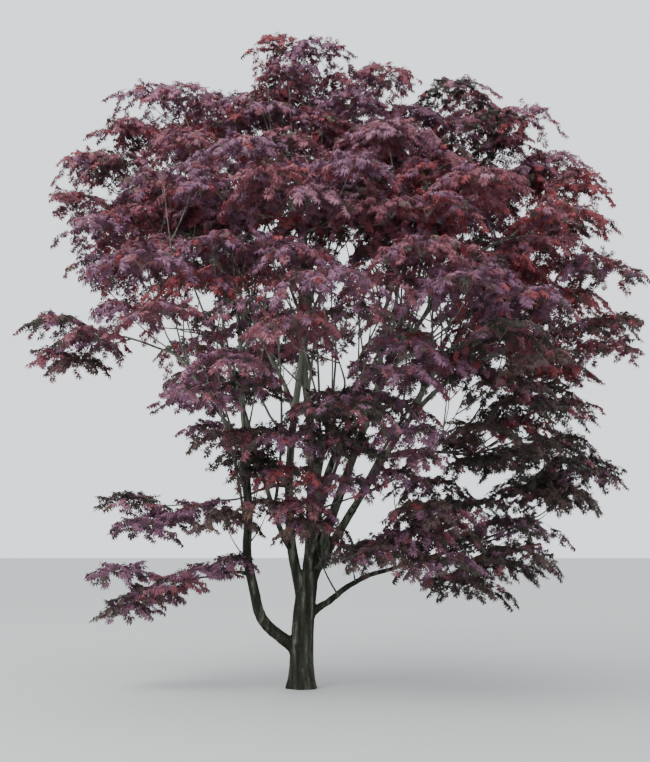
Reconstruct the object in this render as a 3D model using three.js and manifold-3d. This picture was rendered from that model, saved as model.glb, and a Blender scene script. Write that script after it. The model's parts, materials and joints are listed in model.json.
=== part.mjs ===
import * as THREE from "three";
import { mergeVertices } from "three/addons/utils/BufferGeometryUtils.js";
import Module from "manifold-3d";

const wasm = await Module();
wasm.setup();

// A grown japanese maple: a short trunk, a vase of long boughs, and tiers of purple foliage.
// Millimetres and degrees. Z is up, the trunk is cut flat at the ground, z = 0.
// A bearing of 0 points along +X and one of 90 along +Y; the tree is best seen from -Y.

// Clearances
const CLEAR = 0.3; // gap left between limbs that meet
const GROWN = 0.36; // how much a limb is swollen to cut its neighbour, so that flats clear too
const TRUNK_GROWN = 0.55; // and the trunk, which needs more because its shoulder slopes
const LEAF_CLEAR = 6; // least gap between foliage and a limb it passes

// Trunk
const TRUNK_TOP = 1370; // height of the fork
const TRUNK_SIDES = 15;
const TRUNK_LEAN = 104; // how far the trunk has moved along +X at its top
const TRUNK_STEPS = 12; // points along the trunk's centre line, which boughs leave from
const GIRTH = [
  // height and radius: a little root flare, an even bole, and a rounded shoulder in the fork
  [0, 172],
  [90, 148],
  [240, 134],
  [480, 127],
  [800, 121],
  [1100, 112],
  [1290, 98],
  [1345, 74],
  [1370, 44],
];
const FLUTES = 5; // muscular ridges that run up from the roots
const FLUTE_DEPTH = 0.07;
const FLUTE_FADE = 900; // height over which the ridges die away
const FLUTE_TURN = 0.6; // radians that the ridges are turned round the trunk

// Limbs
const LIMB_SIDES = 6;
const LIMB_RINGS = 7;
const HANDLE = 0.36; // length of the curve's end handles, as a share of the limb
const COLLAR = 0.28; // swelling of a limb where it leaves its parent
const COLLAR_LENGTH = 0.07;
const TAPER = 0.8; // under 1 a limb loses girth early, as these do at each side branch
const FOOT_MOST = 0.82; // a limb's foot stays inside its parent: this share of its girth at most

// Foliage masses
const FLATNESS = 1.62; // a mass is this many times wider than it is tall
const FORK_SHORT = 0.34; // a stem forks this share of the mass's radius short of its middle
const STEM_STEPS = 3;
const STEM_SHARE = 0.62; // a lone stem's girth against its bough's tip
const PAIRED_SHARE = 0.5; // and that of a stem which shares the tip with another
const STEM_TAPER = 0.42; // share of its girth that a stem loses on the way to its fork
const STEM_LEAD = 0.12; // share of a stem that runs straight on from the bough
const FORK_FIRST = 0.005; // share of the stem between its end and the first twig's root
const FORK_STEP = 0.07; // share of the stem between one twig's root and the next
const TWIGS_LEAST = 4; // twigs in a small mass; a larger one has a twig for each span of its radius
const TWIG_SPAN = 222;
const GOLDEN_ANGLE = 137.5;
const TURN_STRAY = 12; // degrees that a twig's bearing strays either way
const TWIG_PULLS = [0, 0.2, 0.4, 0.6]; // shares by which a twig that doesn't fit is drawn in
const TIERS = [
  // a twig's end: height as a share of the mass's half height, least and most reach as shares of its
  // radius; then the slope of its leaves and how far the side ones are turned from the middle one
  [0.82, 0.12, 0.24, -14, 122],
  [-0.2, 0.36, 0.5, -46, 62],
  [0.24, 0.36, 0.5, -24, 62],
  [-0.02, 0.38, 0.5, -34, 62],
];
const TWIG_SIDES = 3;
const TWIG_ROOT = 0.8; // a twig's girth where it leaves the stem, against the stem's end
const TWIG_TIP = 3.4;
const LEAF_LENGTH = 0.8; // leaf, standing for a whole spray, against the mass's radius
const LEAF_WIDTH = 0.84; // width against length
const LEAF_SHOULDER = 0.42; // where along the blade it is widest
const LEAF_THICK = 0.026; // thickness against length
const LEAF_ROOTS = [0.97, 0.62, 0.78]; // where along the twig its end leaf and side leaves are rooted
const LEAF_CUP = 0.2; // how far the shoulders hang, against the half width
const LEAF_STRAY = 22; // degrees that a leaf's slope and roll stray either way
const LEAF_LEAST = 0.5; // a leaf that can't keep this share of its length is skipped
const LEAF_STEPS = 7; // lengths tried, from full to least
const LEAF_MARGIN = 4; // least way from a leaf to the wall of its space
const WELD = 1e-4; // corners nearer than this are one
const LEAST_EDGE = 0.006; // a mass with a shorter edge than this is grown again from another seed
const SEED_STEP = 100;
const SEED_TRIES = 20;
const BEAD = 24; // spacing of the beads that stand for limbs where clearance is tested

const limbs = [];
const sprays = [];
const beads = [];
const byName = new Map();

// Small helpers
const radians = (degrees) => (degrees * Math.PI) / 180;

// A unit vector from a compass bearing and a slope above level.
function pointing(bearing, slope) {
  const b = radians(bearing);
  const s = radians(slope);
  return new THREE.Vector3(Math.cos(b) * Math.cos(s), Math.sin(b) * Math.cos(s), Math.sin(s));
}

const bearingOf = (v) => (Math.atan2(v.y, v.x) * 180) / Math.PI;

// A seeded run of numbers from 0 to 1.
function seeded(seed) {
  let state = seed >>> 0;
  return () => {
    state = (state + 0x6d2b79f5) >>> 0;
    let t = state;
    t = Math.imul(t ^ (t >>> 15), t | 1);
    t ^= t + Math.imul(t ^ (t >>> 7), t | 61);
    return ((t ^ (t >>> 14)) >>> 0) / 4294967296;
  };
}

// A point a share of the way along a line of points.
function along(points, share) {
  const at = share * (points.length - 1);
  const i = Math.min(Math.floor(at), points.length - 2);
  return points[i].clone().lerp(points[i + 1], at - i);
}

function radiusAt(limb, share) {
  const at = share * (limb.radii.length - 1);
  const i = Math.min(Math.floor(at), limb.radii.length - 2);
  return THREE.MathUtils.lerp(limb.radii[i], limb.radii[i + 1], at - i);
}

// A limb's centre line: it leaves its foot at one slope and reaches its tip at another.
function curve(foot, tip, rise, arch, count) {
  const way = tip.clone().sub(foot);
  const handle = way.length() * HANDLE;
  const bearing = bearingOf(way);
  const a = foot.clone().addScaledVector(pointing(bearing, rise), handle);
  const b = tip.clone().addScaledVector(pointing(bearing, arch), -handle);
  return new THREE.CubicBezierCurve3(foot, a, b, tip).getPoints(count);
}

// A closed tube with flat ends round a line of points; a lead turns its first end.
function tube(points, radii, sides, lead) {
  const vertices = [];
  const faces = [];
  let side = new THREE.Vector3(0, 1, 0);
  points.forEach((p, k) => {
    const before = points[Math.max(k - 1, 0)];
    const after = points[Math.min(k + 1, points.length - 1)];
    const tangent = lead && k === 0 ? lead : after.clone().sub(before).normalize();
    side = side.clone().addScaledVector(tangent, -side.dot(tangent)).normalize();
    const other = tangent.clone().cross(side);
    for (let i = 0; i < sides; i++) {
      const angle = (2 * Math.PI * i) / sides;
      const v = p.clone().addScaledVector(side, radii[k] * Math.cos(angle));
      v.addScaledVector(other, radii[k] * Math.sin(angle));
      vertices.push(v.x, v.y, v.z);
    }
  });
  skin(faces, points.length, sides);
  return solid(vertices, faces);
}

// Faces between rings of vertices, and the two end caps.
function skin(faces, rings, sides) {
  for (let k = 0; k < rings - 1; k++) {
    for (let i = 0; i < sides; i++) {
      const a = k * sides + i;
      const b = k * sides + ((i + 1) % sides);
      faces.push(a, b, b + sides);
      faces.push(a, b + sides, a + sides);
    }
  }
  const last = (rings - 1) * sides;
  for (let i = 1; i < sides - 1; i++) {
    faces.push(0, i + 1, i);
    faces.push(last, last + i, last + i + 1);
  }
}

function solid(vertices, faces) {
  return new wasm.Manifold(
    new wasm.Mesh({
      numProp: 3,
      vertProperties: new Float32Array(vertices),
      triVerts: new Uint32Array(faces),
    }),
  );
}

// Trunk: level rings, fluted near the ground, leaning a little as it rises.
function girthAt(z) {
  let i = 0;
  while (i < GIRTH.length - 2 && z > GIRTH[i + 1][0]) i++;
  const [z0, r0] = GIRTH[i];
  const [z1, r1] = GIRTH[i + 1];
  return r0 + ((r1 - r0) * (z - z0)) / (z1 - z0);
}

function trunkAxis(z) {
  const up = z / TRUNK_TOP;
  return new THREE.Vector3(TRUNK_LEAN * up * up * up, 0, z);
}

function trunkSolid(extra) {
  const vertices = [];
  const faces = [];
  const levels = GIRTH.map(([z]) => z);
  levels.forEach((z, k) => {
    const middle = trunkAxis(z);
    const ridge = FLUTE_DEPTH * Math.max(0, 1 - z / FLUTE_FADE);
    const top = k === levels.length - 1 ? extra : 0;
    for (let i = 0; i < TRUNK_SIDES; i++) {
      const angle = (2 * Math.PI * i) / TRUNK_SIDES;
      const r = girthAt(z) * (1 + ridge * Math.cos(FLUTES * angle + FLUTE_TURN)) + extra;
      vertices.push(middle.x + r * Math.cos(angle), r * Math.sin(angle), z + top);
    }
  });
  skin(faces, levels.length, TRUNK_SIDES);
  return solid(vertices, faces);
}

function makeTrunk() {
  const points = [];
  const radii = [];
  for (let k = 0; k <= TRUNK_STEPS; k++) {
    const z = (TRUNK_TOP * k) / TRUNK_STEPS;
    points.push(trunkAxis(z));
    radii.push(girthAt(z));
  }
  const trunk = { name: "trunk", points, radii, solid: trunkSolid(0), grown: trunkSolid(TRUNK_GROWN) };
  limbs.push(trunk);
  byName.set("trunk", trunk);
}

// A bough leaves its parent at a share of the parent's length and ends at a bearing, reach and height.
function bough(name, from, share, [bearing, reach, height], [rise, arch], [footR, tipR], masses) {
  const parent = byName.get(from);
  const foot = along(parent.points, share);
  const tip = pointing(bearing, 0).multiplyScalar(reach).setZ(height);
  const points = curve(foot, tip, rise, arch, LIMB_RINGS);
  const radii = points.map((_, k) => {
    const t = k / LIMB_RINGS;
    const collar = COLLAR * Math.max(0, 1 - t / COLLAR_LENGTH);
    return (footR + (tipR - footR) * t ** TAPER) * (1 + collar);
  });
  radii[0] = Math.min(radii[0], radiusAt(parent, share) * FOOT_MOST);
  const end = points.at(-1).clone().sub(points.at(-2)).normalize();
  let body = tube(points, radii, LIMB_SIDES);
  // The new limb gives way to every limb already there, so that each fork meets with an even gap.
  for (const other of limbs) {
    if (touches(body, other.grown)) body = body.subtract(other.grown);
  }
  body = largest(body);
  const swollen = points.map((p) => p.clone());
  swollen.at(-1).addScaledVector(end, GROWN);
  swollen[0].addScaledVector(points[1].clone().sub(points[0]).normalize(), -GROWN);
  const limb = { name, points, radii, solid: body };
  limb.grown = tube(swollen, radii.map((r) => r + GROWN), LIMB_SIDES);
  limbs.push(limb);
  byName.set(name, limb);

  const heading = bearingOf(tip.clone().sub(foot));
  masses.forEach(([turn, lift, out, radius], i) => {
    const middle = tip.clone().addScaledVector(pointing(heading + turn, lift), out);
    const letter = masses.length > 1 ? "_" + "ab"[i] : "";
    sprays.push({
      name: "foliage_" + name + letter,
      seed: sprays.length + 1,
      middle,
      radius,
      tip,
      tipR,
      end,
      mates: masses.length,
    });
  });
}

function touches(a, b) {
  const p = a.boundingBox();
  const q = b.boundingBox();
  return [0, 1, 2].every((i) => p.min[i] < q.max[i] && q.min[i] < p.max[i]);
}

function largest(body) {
  const pieces = body.decompose();
  return pieces.reduce((best, piece) => (piece.volume() > best.volume() ? piece : best));
}

// Each mass keeps to its own space: a flattened ball, parted from its neighbours by flat walls.
// The walls stand where the two balls are equally near, weighed by their sizes.
function spaceOf(spray) {
  const walls = [];
  for (const other of sprays) {
    if (other === spray) continue;
    const way = other.middle.clone().sub(spray.middle);
    way.z *= FLATNESS;
    const gap = way.length();
    if (gap > spray.radius + other.radius) continue;
    const at = (gap * gap + spray.radius ** 2 - other.radius ** 2) / (2 * gap);
    walls.push({ way: way.normalize(), at });
  }
  return walls;
}

function inside(spray, point, margin) {
  const q = point.clone().sub(spray.middle);
  q.z *= FLATNESS;
  if (q.length() > spray.radius - margin) return false;
  return spray.walls.every((wall) => q.dot(wall.way) < wall.at - margin * FLATNESS);
}

// Everything foliage has to stay clear of: beads strung closely along each limb and stem.
function stringBeads(points, radii, owner) {
  for (let k = 0; k < points.length - 1; k++) {
    const length = points[k].distanceTo(points[k + 1]);
    const count = Math.ceil(length / BEAD);
    for (let i = 0; i < count; i++) {
      const t = i / count;
      const p = points[k].clone().lerp(points[k + 1], t);
      beads.push({ p, r: radii[k] + (radii[k + 1] - radii[k]) * t, owner });
    }
  }
  beads.push({ p: points.at(-1), r: radii.at(-1), owner });
}

function clearOfLimbs(spray, test, near, reach) {
  return spray.beads.every((bead) => bead.p.distanceTo(near) > reach + bead.r || test(bead));
}

// A mass's stem starts at the bough's tip beside its mate's and bends towards its own middle.
function makeStem(spray) {
  const rootR = spray.tipR * (spray.mates > 1 ? PAIRED_SHARE : STEM_SHARE);
  const start = spray.tip.clone().addScaledVector(spray.end, CLEAR);
  const way = spray.middle.clone().sub(spray.tip);
  const length = way.length() - spray.radius * FORK_SHORT;
  way.normalize();
  if (spray.mates > 1) {
    const mate = sprays.find((s) => s !== spray && s.tip === spray.tip);
    const apart = spray.middle.clone().sub(mate.middle);
    apart.addScaledVector(spray.end, -apart.dot(spray.end)).normalize();
    start.addScaledVector(apart, rootR + CLEAR / 2);
  }
  const hub = spray.tip.clone().addScaledVector(way, length);
  const handle = length * HANDLE;
  const lead = start.clone().addScaledVector(spray.end, length * STEM_LEAD);
  const a = lead.clone().addScaledVector(spray.end, handle / 2);
  const b = hub.clone().addScaledVector(way, -handle);
  const bend = new THREE.CubicBezierCurve3(lead, a, b, hub).getPoints(STEM_STEPS - 1);
  const points = [start, ...bend];
  const radii = points.map((_, k) => rootR * (1 - (STEM_TAPER * k) / STEM_STEPS));
  spray.stem = { points, radii };
  spray.hub = hub;
  stringBeads(points, radii, spray);
}

// A leaf is a thin double pyramid on a kite: root, tip, and a shoulder on either side.
function leafPoints(root, bearing, slope, roll, length) {
  const way = pointing(bearing, slope);
  const level = pointing(bearing + 90, 0);
  const normal = way.clone().cross(level).normalize();
  const across = level.multiplyScalar(Math.cos(roll)).addScaledVector(normal, Math.sin(roll));
  const face = way.clone().cross(across).normalize();
  const half = (length * LEAF_WIDTH) / 2;
  const thick = (length * LEAF_THICK) / 2;
  const waist = root.clone().addScaledVector(way, length * LEAF_SHOULDER);
  return {
    root,
    tip: root.clone().addScaledVector(way, length),
    left: waist.clone().addScaledVector(across, half).addScaledVector(face, -half * LEAF_CUP),
    right: waist.clone().addScaledVector(across, -half).addScaledVector(face, -half * LEAF_CUP),
    top: waist.clone().addScaledVector(face, thick),
    under: waist.clone().addScaledVector(face, -thick),
    waist,
  };
}

function leafSolid(leaf) {
  const order = [leaf.root, leaf.right, leaf.tip, leaf.left, leaf.top, leaf.under];
  const faces = [];
  for (let i = 0; i < 4; i++) {
    const j = (i + 1) % 4;
    faces.push(i, j, 4);
    faces.push(j, i, 5);
  }
  return solid(order.flatMap((v) => [v.x, v.y, v.z]), faces);
}

function leafFits(spray, leaf, length) {
  const corners = [leaf.tip, leaf.left, leaf.right, leaf.top, leaf.under];
  if (!corners.every((v) => inside(spray, v, LEAF_MARGIN))) return false;
  const halves = [
    new THREE.Triangle(leaf.root, leaf.right, leaf.tip),
    new THREE.Triangle(leaf.root, leaf.tip, leaf.left),
  ];
  const near = new THREE.Vector3();
  const least = length * LEAF_THICK + LEAF_CLEAR;
  const clear = (bead) =>
    halves.every((half) => half.closestPointToPoint(bead.p, near).distanceTo(bead.p) > bead.r + least);
  if (!clearOfLimbs(spray, clear, leaf.waist, length)) return false;
  const blade = leafSolid(leaf);
  return spray.blades.every((other) => !touches(blade, other) || blade.intersect(other).isEmpty());
}

// Adds the longest leaf that fits at a root, if one does.
function addLeaf(spray, root, bearing, slope, roll) {
  const full = spray.radius * LEAF_LENGTH;
  for (let step = 0; step < LEAF_STEPS; step++) {
    const length = full * (1 - ((1 - LEAF_LEAST) * step) / (LEAF_STEPS - 1));
    const leaf = leafPoints(root, bearing, slope, roll, length);
    if (!leafFits(spray, leaf, length)) continue;
    spray.blades.push(leafSolid(leaf));
    return;
  }
}

function twigFits(spray, points, radius) {
  return points.every(
    (p) =>
      inside(spray, p, radius + LEAF_MARGIN) &&
      clearOfLimbs(spray, (bead) => bead.p.distanceTo(p) > bead.r + radius + LEAF_CLEAR, p, BEAD * 2),
  );
}

// Twigs fan out from the stem's end by the golden angle, in tiers; each carries three leaves.
function growMass(spray, seed) {
  const random = seeded(seed);
  const pieces = [tube(spray.stem.points, spray.stem.radii, TWIG_SIDES, spray.end)];
  const outward = bearingOf(spray.middle.clone().sub(spray.tip));
  const hubR = spray.stem.radii.at(-1);
  spray.blades = [];
  const either = (most) => (random() * 2 - 1) * most;
  const twigs = Math.max(TWIGS_LEAST, Math.round(spray.radius / TWIG_SPAN));
  for (let i = 0; i < twigs; i++) {
    const bearing = outward + GOLDEN_ANGLE * i + either(TURN_STRAY);
    const [height, least, most, slope, turn] = TIERS[i % TIERS.length];
    const reach = spray.radius * THREE.MathUtils.lerp(least, most, random());
    const target = spray.middle.clone().addScaledVector(pointing(bearing, 0), reach);
    target.z += (height * spray.radius) / FLATNESS;
    const slopes = LEAF_ROOTS.map(() => slope + either(LEAF_STRAY));
    const rolls = LEAF_ROOTS.map(() => radians(either(LEAF_STRAY)));
    const root = along(spray.stem.points, 1 - FORK_FIRST - FORK_STEP * i);
    const ends = TWIG_PULLS.map((pull) => target.clone().lerp(spray.hub, pull));
    const end = ends.find((e) => twigFits(spray, [along([root, e], 0.5), e], hubR));
    if (!end) continue;
    const points = [root, end];
    pieces.push(tube(points, [hubR * TWIG_ROOT, TWIG_TIP], TWIG_SIDES));
    const facing = bearingOf(end.clone().sub(spray.middle));
    [0, turn, -turn].forEach((side, j) => {
      addLeaf(spray, along(points, LEAF_ROOTS[j]), facing + side, slopes[j], rolls[j]);
    });
  }
  return largest(wasm.Manifold.union([...pieces, ...spray.blades]));
}

// Fused blades can leave slivers, so a mass that has one is grown again.
function growSoundMass(spray) {
  let body = growMass(spray, spray.seed);
  for (let i = 1; i < SEED_TRIES && shortestEdge(body) < LEAST_EDGE; i++) {
    body = growMass(spray, spray.seed + i * SEED_STEP);
  }
  return body;
}

function shortestEdge(body) {
  const { numProp, vertProperties, triVerts } = body.getMesh();
  const corner = (i) => new THREE.Vector3().fromArray(vertProperties, i * numProp);
  let shortest = Infinity;
  for (let i = 0; i < triVerts.length; i += 3) {
    for (let j = 0; j < 3; j++) {
      const a = corner(triVerts[i + j]);
      shortest = Math.min(shortest, a.distanceTo(corner(triVerts[i + ((j + 1) % 3)])));
    }
  }
  return shortest;
}

function geometryOf(body) {
  const { numProp, vertProperties, triVerts, numVert } = body.getMesh();
  const position = new Float32Array(numVert * 3);
  for (let i = 0; i < numVert; i++) {
    for (let c = 0; c < 3; c++) position[i * 3 + c] = vertProperties[i * numProp + c];
  }
  const geometry = new THREE.BufferGeometry();
  geometry.setAttribute("position", new THREE.BufferAttribute(position, 3));
  geometry.setIndex(new THREE.BufferAttribute(new Uint32Array(triVerts), 1));
  const merged = mergeVertices(geometry, WELD);
  merged.computeVertexNormals();
  return merged;
}

function addMesh(name, body, material) {
  const mesh = new THREE.Mesh(geometryOf(body), material);
  mesh.name = name;
  tree.add(mesh);
}

// The tree
const tree = new THREE.Group();
tree.name = "japanese_maple";
makeTrunk();

// Boughs: name, parent, share along the parent; bearing, reach and height of the tip;
// slope at the foot and at the tip; radius at the foot and at the tip;
// and for each foliage mass its turn, its lift, its distance from the tip, and its radius.
bough("low_left", "trunk", 0.3, [201, 690, 2910], [22, 86], [74, 40], []);
bough("left", "trunk", 0.68, [199, 870, 6050], [68, 8], [66, 18], [
  [-45, 40, 1200, 920],
  [45, -30, 850, 920],
]);
bough("top", "trunk", 0.9, [351, 180, 6470], [88, 79], [74, 20], [
  [-165, 75, 950, 760],
  [-10, 20, 700, 900],
]);
bough("right_high", "trunk", 0.94, [16, 1850, 6020], [62, 62], [68, 18], [
  [-100, 50, 800, 960],
  [50, 15, 1150, 990],
]);
bough("right_far", "trunk", 0.88, [6, 2750, 3970], [55, 10], [60, 16], [
  [-50, 30, 850, 850],
  [40, 5, 1000, 920],
]);
bough("back_right", "trunk", 0.92, [50, 2610, 4340], [75, 18], [62, 18], [
  [55, -10, 650, 1060],
  [-40, 35, 1200, 1030],
]);
bough("front_right", "trunk", 0.88, [284, 1810, 3100], [72, 15], [50, 16], [
  [-20, 30, 1000, 870],
  [40, -30, 450, 850],
]);
bough("low_right", "trunk", 0.55, [350, 1210, 1380], [40, 14], [46, 20], [
  [-70, 25, 550, 880],
  [35, 2, 1150, 1040],
]);
bough("left_high", "low_left", 0.97, [191, 1570, 5260], [80, 5], [36, 18], [
  [-35, 35, 1150, 900],
  [45, -35, 850, 810],
]);
bough("left_far", "low_left", 0.93, [197, 2050, 3890], [45, 4], [24, 13], [[-15, -5, 600, 690]]);
bough("left_front", "low_left", 0.6, [239, 1420, 3520], [70, 21], [26, 14], [
  [-40, 30, 1000, 900],
  [10, -35, 800, 740],
]);
bough("left_skirt", "low_left", 0.42, [200, 1190, 1230], [40, 0], [20, 11], [[-10, 0, 550, 690]]);
bough("left_back", "left", 0.35, [125, 2120, 4980], [60, 30], [32, 16], [
  [60, 35, 1100, 1010],
  [-45, 40, 1150, 990],
]);
bough("left_shelf", "left", 0.22, [192, 930, 2090], [22, 6], [22, 12], [[0, -10, 600, 830]]);
bough("top_back", "top", 0.55, [93, 1310, 6330], [70, 40], [34, 18], [
  [85, 40, 1100, 1010],
  [-55, 35, 1100, 1010],
]);
bough("top_front", "top", 0.5, [272, 1300, 4820], [70, 40], [32, 18], [
  [-35, 20, 800, 940],
  [25, 5, 800, 940],
]);
bough("right_top", "right_high", 0.48, [322, 1440, 5050], [80, 57], [34, 18], [
  [-25, 70, 650, 920],
  [25, -5, 900, 900],
]);
bough("right_shoulder", "right_high", 0.45, [356, 2370, 5160], [46, 15], [36, 18], [
  [45, 40, 1050, 900],
  [-45, -20, 900, 850],
]);
bough("right_front", "right_far", 0.55, [316, 2160, 3570], [50, 22], [28, 15], [
  [-30, 30, 850, 940],
  [50, 10, 600, 870],
]);
bough("right_under", "right_far", 0.4, [2, 2050, 2650], [30, 10], [28, 14], [
  [-65, 10, 600, 940],
  [40, -8, 1250, 1030],
]);
bough("back_left", "back_right", 0.35, [106, 2090, 3680], [45, 19], [34, 16], [
  [-55, 45, 1250, 1060],
  [65, 15, 750, 950],
]);

const bark = new THREE.MeshStandardMaterial({ color: 0x6a5f58, roughness: 0.92, metalness: 0 });
const TINTS = [0x5a1f33, 0x4a1b30, 0x6d2636];
const foliage = TINTS.map((color) => new THREE.MeshStandardMaterial({ color, roughness: 0.55, metalness: 0 }));

for (const limb of limbs) {
  stringBeads(limb.points, limb.radii, limb);
  addMesh(limb.name === "trunk" ? "trunk" : "bough_" + limb.name, limb.solid, bark);
}
for (const spray of sprays) spray.walls = spaceOf(spray);
for (const spray of sprays) makeStem(spray);
for (const spray of sprays) {
  spray.beads = beads.filter((bead) => {
    return bead.owner !== spray && bead.p.distanceTo(spray.middle) < spray.radius * 2;
  });
  addMesh(spray.name, growSoundMass(spray), foliage[spray.seed % foliage.length]);
}

export default tree;
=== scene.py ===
# %% [markdown]
# # A japanese maple in leaf
#
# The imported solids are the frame. They hold the trunk, the boughs and, for each mass of foliage,
# a few large leaves that mark its reach. This scene grows the same tree again from the same table
# of limbs, and carries it on to fine twigs and to leaves close to their real size.

# %% The frame
import json
import math

import bpy
import numpy as np
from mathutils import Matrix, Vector

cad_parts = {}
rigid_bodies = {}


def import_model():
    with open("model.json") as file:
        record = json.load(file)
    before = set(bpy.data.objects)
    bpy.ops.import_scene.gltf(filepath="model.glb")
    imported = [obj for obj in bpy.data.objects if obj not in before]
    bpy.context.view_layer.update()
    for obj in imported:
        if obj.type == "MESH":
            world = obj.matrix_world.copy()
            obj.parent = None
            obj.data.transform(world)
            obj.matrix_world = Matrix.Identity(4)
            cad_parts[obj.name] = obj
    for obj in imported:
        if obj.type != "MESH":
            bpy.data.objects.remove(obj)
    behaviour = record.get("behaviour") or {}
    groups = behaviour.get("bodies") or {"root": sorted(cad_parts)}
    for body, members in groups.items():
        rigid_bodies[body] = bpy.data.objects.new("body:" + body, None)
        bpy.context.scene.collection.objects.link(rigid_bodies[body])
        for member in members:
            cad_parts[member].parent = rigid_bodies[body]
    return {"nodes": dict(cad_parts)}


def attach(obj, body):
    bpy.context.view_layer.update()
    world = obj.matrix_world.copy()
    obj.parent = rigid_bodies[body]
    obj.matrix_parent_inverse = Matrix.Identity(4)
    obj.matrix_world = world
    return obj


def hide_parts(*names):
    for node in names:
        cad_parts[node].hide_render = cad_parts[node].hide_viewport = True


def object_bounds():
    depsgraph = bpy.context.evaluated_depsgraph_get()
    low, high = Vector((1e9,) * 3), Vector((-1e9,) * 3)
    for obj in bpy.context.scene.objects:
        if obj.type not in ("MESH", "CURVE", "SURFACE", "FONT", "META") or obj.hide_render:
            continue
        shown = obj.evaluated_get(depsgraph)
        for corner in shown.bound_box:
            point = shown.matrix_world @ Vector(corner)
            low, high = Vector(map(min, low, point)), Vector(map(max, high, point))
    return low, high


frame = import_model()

cad_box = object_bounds()
bpy.ops.object.select_all(action="DESELECT")
print(len(frame["nodes"]), "solids in the frame")

# %% [markdown]
# ## Camera
#
# The tree is seen by a standing person twelve metres away who looks up a little, so that the
# trunk stays near the bottom of the picture and the crown fills the rest.

# %% Camera
EYE = (0.258, -12.0, 1.507)  # metres
PITCH = 9.408  # degrees above level
LENS, FILM = 48.76, 36  # millimetres
SIGHT = 500  # metres

bpy.ops.object.camera_add(location=EYE, rotation=(math.radians(90 + PITCH), 0, 0))
camera = bpy.context.object
camera.name = "camera"
camera.data.lens = LENS
camera.data.sensor_width = FILM
camera.data.clip_end = SIGHT
bpy.context.scene.camera = camera
print("camera", round(camera.data.lens, 2), "mm, at eye height", EYE[2], "m")

# %% [markdown]
# ## Floor and light
#
# A tree lives under the whole sky. An even, pale world gives that light, and one broad lamp high
# in front and to the left lifts the tops of the leaves, as a bright patch of cloud would.
# The floor is pale and plain, and wide enough to reach the horizon.

# %% Floor
FLOOR_RADIUS = 260
FLOOR_LOOKS = {"Base Color": (0.52, 0.53, 0.52, 1), "Roughness": 0.9}


def fill(node, values):
    for name, value in values.items():
        node.inputs[name].default_value = value


def plain_material(name, looks):
    material = bpy.data.materials.new(name)
    material.use_nodes = True
    fill(material.node_tree.nodes["Principled BSDF"], looks)
    return material


bpy.ops.mesh.primitive_circle_add(vertices=96, radius=FLOOR_RADIUS, fill_type="NGON")
floor = bpy.context.object
floor.name = "floor"
floor.data.materials.append(plain_material("pale floor", FLOOR_LOOKS))
print("floor", 2 * FLOOR_RADIUS, "m across")

# %% Light
SKY_LOOKS = {"Color": (0.93, 0.96, 1.0, 1), "Strength": 1.65}
LAMP_PLACE, LAMP_AIM = (-7.5, -8.0, 13.0), (0.3, 0, 4.5)
LAMP_SIDE, LAMP_POWER = 7.0, 1750  # metres and watts

world = bpy.data.worlds.new("sky")
world.use_nodes = True
fill(world.node_tree.nodes["Background"], SKY_LOOKS)
bpy.context.scene.world = world

to_crown = Vector(LAMP_AIM) - Vector(LAMP_PLACE)
bpy.ops.object.light_add(
    type="AREA", location=LAMP_PLACE, rotation=to_crown.to_track_quat("-Z", "Y").to_euler()
)
lamp = bpy.context.object
lamp.name = "cloud"
lamp.data.size = LAMP_SIDE
lamp.data.energy = LAMP_POWER
print("sky", SKY_LOOKS["Strength"], "and a lamp of", LAMP_POWER, "W")

# %% [markdown]
# ## The table of limbs
#
# A bough leaves its parent at a share of the parent's length and ends at a bearing, a reach and a
# height. It is a Bezier curve: the slope at its foot and at its tip say how it bends on the way.
# Each line also says where the bough's masses of foliage are. The values are those of the solids,
# so that every limb runs inside its own solid.

# %% Trunk and boughs, as numbers
TRUNK_TOP, TRUNK_LEAN, TRUNK_STEPS = 1.370, 0.104, 12
GIRTH = [  # height and radius
    (0.000, 0.172), (0.090, 0.148), (0.240, 0.134), (0.480, 0.127), (0.800, 0.121),
    (1.100, 0.112), (1.290, 0.098), (1.345, 0.074), (1.370, 0.044),
]
LIMB_RINGS = 7
HANDLE = 0.36  # length of a curve's handles, against the span
TAPER = 0.8
FOOT_MOST = 0.82  # a bough's foot against the trunk's girth there

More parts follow.
